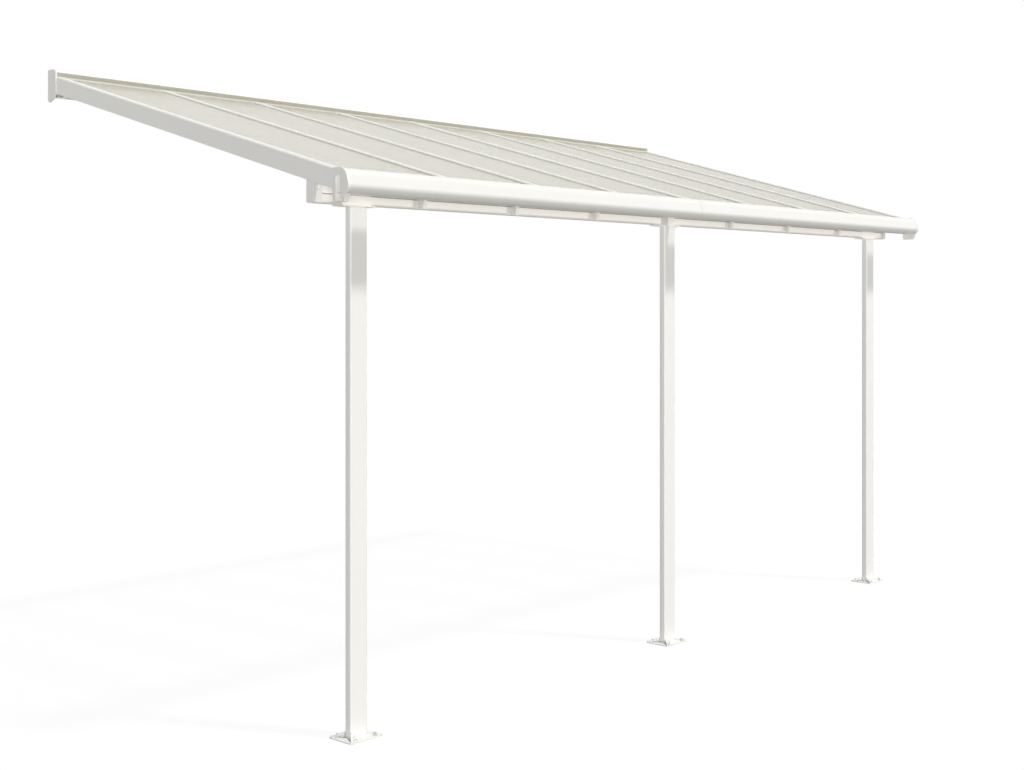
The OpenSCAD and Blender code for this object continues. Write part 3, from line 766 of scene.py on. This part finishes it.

# Grey glazing rubber along the caps, also a painted shade line under each cap.
grey_rubber_and_shade_line = rubber("grey_glazing_rubber", (0.48, 0.47, 0.43), 60.0)
BEAD = 0.9
beads = []
for number in range(1, BAYS + 2):
    reach = CAP_HALF + (MIDDLE_EXTRA if number == 1 + BAYS / 2 else 0)
    for side in (-1, 1):
        if (number, side) not in ((1, -1), (BAYS + 1, 1)):
            x = rafter_x(number) + side * reach
            foot = [(x - side * 1.5, -0.5), (x + side * 2 * BEAD, -0.5)]
            crown = [(x + side * (BEAD + BEAD * math.cos(turn)), -0.4 + 1.5 * BEAD * math.sin(turn))
                for turn in [math.radians(angle) for angle in (15, 45, 75, 105, 140)]]
            beads.append(foot + crown + [(x - side * 1.5, 0.2)])
settle(down_slope("cap_rubbers", beads, RAFTER_START - 12, RAFTER_END - 22, grey_rubber_and_shade_line), "moulded_plastic")
SCREW_Y, LEDGE_SLOPE = -112, 0.0723
SCREW_Z = -60.3 + (SCREW_Y + 58) * LEDGE_SLOPE
edge_shift = {1: -2.5, BAYS + 1: 2.5}
ledge_screws = [(rafter_x(number) + dx + edge_shift.get(number, 0), SCREW_Y, SCREW_Z)
    for number in range(1, BAYS + 2) for dx in (-8, 8)]
fasteners("ledge_screws", ledge_screws, (0, 0.072, -0.997), white_coat, (6.5, 1.0), (4.6, 3.6))

# Roof panels: twin-wall polycarbonate sheets, clear with a warm cast, their channels down the slope.
# They pass more light than their haze suggests, so their shadow is faint. A slim white channel
# closes the lower end of each over the gutter.
PANEL_END = -2133.0
SHADOW_EASE = 0.65
panel_material, tree = fresh_material("twin_wall_polycarbonate")
place = node(tree, "ShaderNodeTexCoord")
cloud = node(tree, "ShaderNodeTexNoise", in_Scale=2.4, in_Detail=5.0, in_Roughness=0.6)
tones = node(tree, "ShaderNodeMix", data_type="RGBA")
tones.inputs["A"].default_value = (0.636, 0.622, 0.553, 1)
tones.inputs["B"].default_value = (0.676, 0.661, 0.586, 1)
link(tree, place.outputs["Object"], cloud.inputs["Vector"])
link(tree, cloud.outputs["Fac"], tones.inputs["Factor"])
ripple_place = node(tree, "ShaderNodeMapping")
ripple_place.inputs["Scale"].default_value = (1.0, 0.12, 0.12)
ripple = node(tree, "ShaderNodeTexNoise", in_Scale=46.0, in_Detail=2.0)
link(tree, place.outputs["Object"], ripple_place.inputs["Vector"])
link(tree, ripple_place.outputs[0], ripple.inputs["Vector"])
shader = weathered_shader(tree, tones.outputs["Result"], ripple.outputs["Fac"], 0.16, 0.10, 0.0, 0.0003)
shader.inputs["IOR"].default_value = 1.58
grazing = node(tree, "ShaderNodeLayerWeight", in_Blend=0.35)
haze = node(tree, "ShaderNodeMapRange", in_1=0.05, in_2=0.85, in_3=0.17, in_4=0.62)
link(tree, grazing.outputs["Facing"], haze.inputs["Value"])
ray = node(tree, "ShaderNodeLightPath")
let_through = node(tree, "ShaderNodeMath", operation="MULTIPLY_ADD", in_1=-SHADOW_EASE, in_2=1.0)
spread_light = node(tree, "ShaderNodeMath", operation="MULTIPLY")
link(tree, ray.outputs["Is Shadow Ray"], let_through.inputs[0])
link(tree, haze.outputs[0], spread_light.inputs[0])
link(tree, let_through.outputs[0], spread_light.inputs[1])
link(tree, spread_light.outputs[0], shader.inputs["Alpha"])
for number in range(1, BAYS + 1):
    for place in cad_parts[f"panel_{number}"].material_slots:
        place.material = panel_material


def on_slope(s, n):
    """A point in (y, z) at a distance s above the panels' lower end, n square to the slope."""
    y = PANEL_END + s * math.cos(PITCH) - n * math.sin(PITCH)
    return (y, roof_height(PANEL_END) + s * math.sin(PITCH) + n * math.cos(PITCH))


trim_loop = [(*on_slope(s, n), 0.3) for s, n in ((14, 0.4), (-1.6, 0.4), (-1.6, -7.6), (14, -7.6), (14, -6.7),
    (-0.4, -6.7), (-0.4, -0.5), (14, -0.5))]
trims = along_wall("panel_end_trims", [trim_loop], rafter_x(1) + 5, rafter_x(2) - 5,
    white_plastic, BAYS, RAFTER_GAP)
settle(trims, "moulded_plastic")

# Gutter: two lengths of round-nosed extruded trough, coated white, hung on the rafters' lower ends,
# the lip turned down inside. A riveted joiner sleeve and a rubber ring close the joint in the middle.
# Moulded caps with an outlet box close the ends, with pale liner sheets behind their windows.
NOSE_FACE = -2200.0
NOSE_BACK = NOSE_FACE + 53
GUTTER_TOP = ROOF_Z + (CAP_UP + 6.0) / math.cos(PITCH) + SLOPE * NOSE_BACK
GUTTER_FLOOR = GUTTER_TOP - 100.0
GUTTER_T = 2.4
# The gutter's coat is a darker copy of the white coat, painted shade against the strong light on its nose.
shaded_gutter_coat = coated("white_gutter_coat", (0.80, 0.80, 0.785, 1), 420.0, 0.34, 0.10, 0.15, 0.5, 0.16)
# A lighter, warmer copy of the white coat, painted light for the beam and post heads in the gutter's shade
# and for the window liners.
lit_beam_coat = coated("white_beam_coat", (0.885, 0.865, 0.835, 1), 420.0, 0.34, 0.10, 0.15)
dark_rubber_and_shade_strip = rubber("dark_glazing_rubber", (0.36, 0.355, 0.33), 60.0)
TOP_R, LOW_R, TUCK = 44.0, 30.0, 16.0


def trough(inset, back, steps=16):
    """The round nose from its top to the floor, a distance inset inside the end caps' outline."""
    return (arc(NOSE_BACK, GUTTER_TOP - TOP_R, TOP_R - inset, 100.6, 180 - TUCK, steps)
        + arc(NOSE_FACE + LOW_R, GUTTER_FLOOR + LOW_R, LOW_R - inset, 180 - TUCK, 270, steps)
        + [(RAFTER_END - back, GUTTER_FLOOR + inset, 1.2)])


back_top = roof_height(RAFTER_END - GUTTER_T) - (PANEL_GAP + 1) / math.cos(PITCH)
outside, inside = trough(1.8, 0.0), trough(1.8 + GUTTER_T, GUTTER_T)
lip = [(inside[0][0] + 1.2, inside[0][1] - 6.5, 0.5), (inside[0][0] + 2.9, inside[0][1] - 6.5, 0.5)]
gutter_loop = (outside + [(RAFTER_END, back_top, 0.8), (RAFTER_END - GUTTER_T, back_top, 0.8)]
    + inside[::-1] + [(inside[0][0] + 0.6, inside[0][1] - 0.6)] + lip
    + [(outside[0][0] + 0.8, outside[0][1], 0.5)])
JOINT = 1.1
for side, x0, x1 in (("left", -HALF_LENGTH + 4, -JOINT), ("right", JOINT, HALF_LENGTH - 4)):
    length = along_wall(f"gutter_{side}_trough", [gutter_loop], x0, x1, shaded_gutter_coat)
    mark_rubbed(length, 0.0008)
    settle(length, "coated_aluminium", f"gutter_{side}")
    eased(f"gutter_end_cap_{side}", f"gutter_end_cap_{side}_moulded", white_plastic, 0.0011, 3,
        "moulded_plastic")
WINDOW_Y = RAFTER_END - 17.0
LINER_X, LINER_SLANT, LINER_T = HALF_LENGTH - 4.2, 0.4, 1.2
arch_liner = ([(WINDOW_Y - 33.5, GUTTER_FLOOR + 4.4), (WINDOW_Y + 2, GUTTER_FLOOR + 4.4)]
    + arc(WINDOW_Y - 15.75, GUTTER_FLOOR + 57, 17.75, 0, 180, 14))
foot_liner = [(WINDOW_Y - 41, GUTTER_FLOOR - 29.4), (WINDOW_Y + 2, GUTTER_FLOOR - 29.4),
    (WINDOW_Y + 2, GUTTER_FLOOR + 1.5), (WINDOW_Y - 33.5, GUTTER_FLOOR + 1.5),
    (WINDOW_Y - 33.5, GUTTER_FLOOR - 13), (WINDOW_Y - 41, GUTTER_FLOOR - 13)]
liner = bmesh.new()
for side in (-1, 1):
    for outline in (arch_liner, foot_liner):
        near, far = [[liner.verts.new(mm(side * (LINER_X - LINER_SLANT * (WINDOW_Y + 2 - y) - t), y, z))
            for y, z in outline] for t in (0.0, LINER_T)]
        liner.faces.new(near)
        liner.faces.new(far[::-1])
        for i in range(len(outline)):
            liner.faces.new((near[i - 1], near[i], far[i], far[i - 1]))
bmesh.ops.recalc_face_normals(liner, faces=liner.faces)
liner_mesh = bpy.data.meshes.new("cap_window_liners")
liner.to_mesh(liner_mesh)
liner.free()
# The liners take the lighter coat, painted light in the cap windows.
liner_mesh.materials.append(lit_beam_coat)
liners = bpy.data.objects.new("cap_window_liners", liner_mesh)
bpy.context.scene.collection.objects.link(liners)
settle(liners, "moulded_plastic")
ring_out, ring_in = trough(2.3, 0.5), trough(1.8 + GUTTER_T - 0.3, GUTTER_T - 0.3)
ring_loop = (ring_out + [(RAFTER_END - 0.5, back_top - 0.6), (RAFTER_END - GUTTER_T + 0.3, back_top - 0.6)]
    + ring_in[::-1])
settle(along_wall("gutter_joint_rubber", [ring_loop], -JOINT, JOINT, dark_rubber_and_shade_strip), "moulded_plastic")
eased("gutter_joiner", "gutter_joiner_sleeve", white_coat, 0.0005)
rivets = [(x, y, GUTTER_FLOOR + 1.8) for x in (-22, 22) for y in (-2122, -2158)]
fasteners("joiner_rivets", rivets, (0, 0, -1), white_coat, (4.8, 0.5), (3.6, 1.5), 20, top=0.55)

# Beam: two lengths of rounded aluminium box on the post heads, in a lighter copy of the white coat painted
# light, with moulded end caps and a dark strip along its front, painted shade under the lip. Grey-white
# brackets sit over it under each rafter, a wide one in the middle, bolted through its front.
BEAM_FRONT = -1977.0
BEAM_TOP = roof_height(BEAM_FRONT) - RAFTER_LOW / math.cos(PITCH) - 5
BEAM_BOTTOM = BEAM_TOP - 78.0
bracket_coat = coated("bracket_coat", (0.79, 0.78, 0.76, 1), 520.0, 0.42, 0.10, 0.0, 0.3)
for side in ("left", "right"):
    eased(f"beam_{side}", f"beam_{side}_coated", lit_beam_coat, 0.0009)
# The dark strip along the beam's front is painted shade under the lip.
GROOVE, GROOVE_HIGH, GROOVE_END = BEAM_BOTTOM + 36.4, 3.6, HALF_LENGTH - 18.5
groove_loop = [(BEAM_FRONT + 0.3, GROOVE), (BEAM_FRONT - 0.5, GROOVE, 0.2),
    (BEAM_FRONT - 0.5, GROOVE + GROOVE_HIGH), (BEAM_FRONT + 0.3, GROOVE + GROOVE_HIGH)]
strip = along_wall("beam_groove_rubber", [groove_loop], -GROOVE_END, GROOVE_END, dark_rubber_and_shade_strip)
settle(strip, "moulded_plastic")
eased("beam_end_caps", "beam_end_caps_moulded", white_plastic, 0.0012, 3, "moulded_plastic")
eased("rafter_brackets", "rafter_brackets_coated", bracket_coat, 0.0008)
bracket_x = [rafter_x(2), rafter_x(3), rafter_x(4), -36.0, 36.0, rafter_x(6), rafter_x(7), rafter_x(8)]
bracket_bolts = [(x, BEAM_FRONT - 4, BEAM_BOTTOM + 60) for x in [-2269.0] + bracket_x + [2269.0]]
fasteners("bracket_bolts", bracket_bolts, (0, -1, 0), white_coat, (6.0, 0.8), (4.4, 2.6))

# Posts: three rounded aluminium boxes, coated white, on coated heads and bolted feet.
# Pan-head screws join them to the tongues at the back; anchor bolts hold the feet to the ground.
POST_Y = -1975.0
POST_BACK = POST_Y + 18.0
POST_X = {"left": -2073.0, "middle": 0.0, "right": 2073.0}
POST_TOP = BEAM_BOTTOM - 6.0
GROUND = GROUND_Z * 1000
for side, x in POST_X.items():
    eased(f"post_{side}", f"post_{side}_coated", white_coat, 0.0007)
    # The heads take the lighter coat, painted light under the gutter.
    eased(f"post_head_{side}", f"post_head_{side}_coated", lit_beam_coat, 0.0009)
    eased(f"foot_{side}", f"foot_{side}_coated", white_coat, 0.0006, whole=True)
    anchors = [(x + dx, POST_Y + dy, GROUND + 5) for dx in (-51, 51) for dy in (-55, 55)]
    fasteners(f"anchor_bolts_{side}", anchors, (0, 0, 1), zinc_steel, (8.6, 1.6), (6.6, 5.2),
        stud=(3.4, 3.0), seed=3)
    joints = [(x + dx, POST_BACK, z) for dx in (-22, 22)
        for z in (POST_TOP - 28, POST_TOP - 68, GROUND + 28, GROUND + 62)]
    fasteners(f"post_screws_{side}", joints, (0, 1, 0), white_coat, (5.4, 0.6), (4.6, 2.2), 20, top=0.6)
    seats = [(x + dx, POST_Y + dy, BEAM_BOTTOM - 6) for dx in (-66, 66) for dy in (-4, 26)]
    fasteners(f"head_screws_{side}", seats, (0, 0, -1), white_coat, (5.6, 0.7), (4.4, 2.2), 20, top=0.7)
